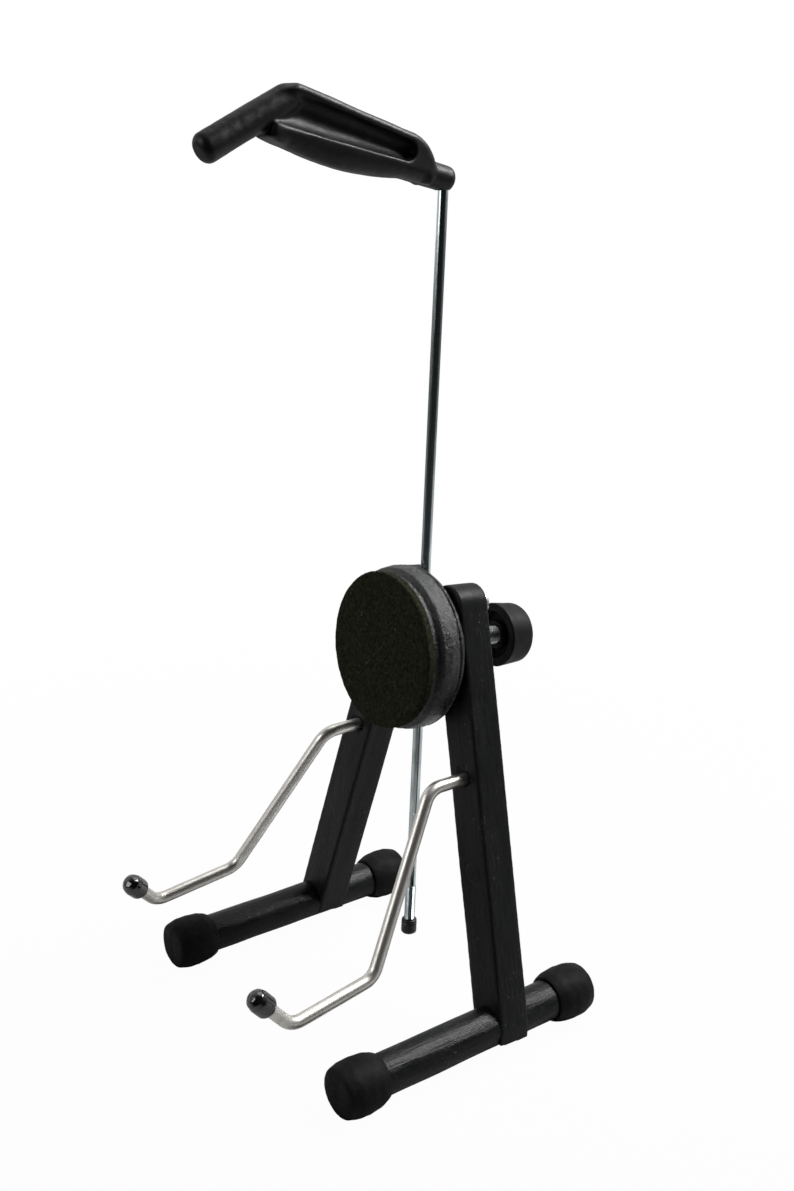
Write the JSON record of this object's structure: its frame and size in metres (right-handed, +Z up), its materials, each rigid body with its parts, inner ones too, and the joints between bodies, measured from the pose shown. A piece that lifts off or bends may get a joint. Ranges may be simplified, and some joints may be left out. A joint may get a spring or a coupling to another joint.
{
  "type": "miniature guitar stand",
  "caption": "Black A-frame stand for a miniature guitar: two legs on dowel feet, wire prongs, a round padded hub and a thin mast with a neck hook.",
  "frame": {"origin": "floor point under the middle of the stand's outer box", "axes": "+Z up the stand, -Y to the front where the guitar stands, +X to the right, seen from the front"},
  "size_m": [0.0742, 0.0813, 0.1801],
  "materials": {
    "painted_wood": "brushed black paint on wood, satin, worn at the edges",
    "felt_pad": "olive-black speckled felt",
    "zinc_steel": "zinc plated",
    "brass_insert": "plain brass",
    "knob_plastic": "matt black",
    "plated_rod": "bright plated, slightly blue",
    "prong_steel": "warm satin wire",
    "tip_vinyl": "glossy black vinyl",
    "hook_plastic": "satin black moulding",
    "foot_rubber": "matt black rubber"
  },
  "bodies": {
    "hub": {"hub_disc": "painted_wood", "back_pad": "felt_pad", "mast_block": "painted_wood", "block_screws": "zinc_steel", "threaded_insert": "brass_insert", "leg_pivot_screws": "zinc_steel", "leg_pivot_washers": "zinc_steel"},
    "right_leg_assembly": {"right_leg": "painted_wood", "right_foot_dowel": "painted_wood", "right_foot_screw": "zinc_steel", "right_front_foot_cap": "foot_rubber", "right_rear_foot_cap": "foot_rubber"},
    "left_leg_assembly": {"left_leg": "painted_wood", "left_foot_dowel": "painted_wood", "left_foot_screw": "zinc_steel", "left_front_foot_cap": "foot_rubber", "left_rear_foot_cap": "foot_rubber"},
    "right_prong_assembly": {"right_prong": "prong_steel", "right_prong_tip": "tip_vinyl"},
    "left_prong_assembly": {"left_prong": "prong_steel", "left_prong_tip": "tip_vinyl"},
    "mast": {"mast_rod": "plated_rod", "mast_end_cap": "tip_vinyl"},
    "hook": {"neck_hook": "hook_plastic"},
    "clamp": {"clamp_screw": "zinc_steel", "clamp_knob": "knob_plastic"}
  },
  "joints": [
    {"name": "right_leg_fold", "type": "hinge", "parent": "hub", "child": "right_leg_assembly", "pos_m": [0.0086, 0.01765, 0.08435], "axis": [0, 0.9962, -0.0872], "range_deg": [0, 16.19]},
    {"name": "left_leg_fold", "type": "hinge", "parent": "hub", "child": "left_leg_assembly", "pos_m": [-0.0086, 0.01765, 0.08435], "axis": [0, -0.9962, 0.0872], "range_deg": [0, 16.19]},
    {"name": "right_prong_swing", "type": "hinge", "parent": "right_leg_assembly", "child": "right_prong_assembly", "pos_m": [0.01797, 0.01484, 0.0522], "axis": [0, -1, 0], "range_deg": [-1, 69]},
    {"name": "left_prong_swing", "type": "hinge", "parent": "left_leg_assembly", "child": "left_prong_assembly", "pos_m": [-0.01797, 0.01484, 0.0522], "axis": [0, 1, 0], "range_deg": [-14, 56]},
    {"name": "mast_height", "type": "slide", "parent": "hub", "child": "mast", "axis": [0, 0.0462, 0.9989], "range_m": [-0.008, 0.04]},
    {"name": "hook_swivel", "type": "hinge", "parent": "mast", "child": "hook", "pos_m": [0, 0.01175, 0.01], "axis": [0, 0.0462, 0.9989], "continuous": true},
    {"name": "clamp_knob_turn", "type": "hinge", "parent": "hub", "child": "clamp", "pos_m": [0, 0.01677, 0.07429], "axis": [0, 0.9962, -0.0872], "continuous": true}
  ]
}
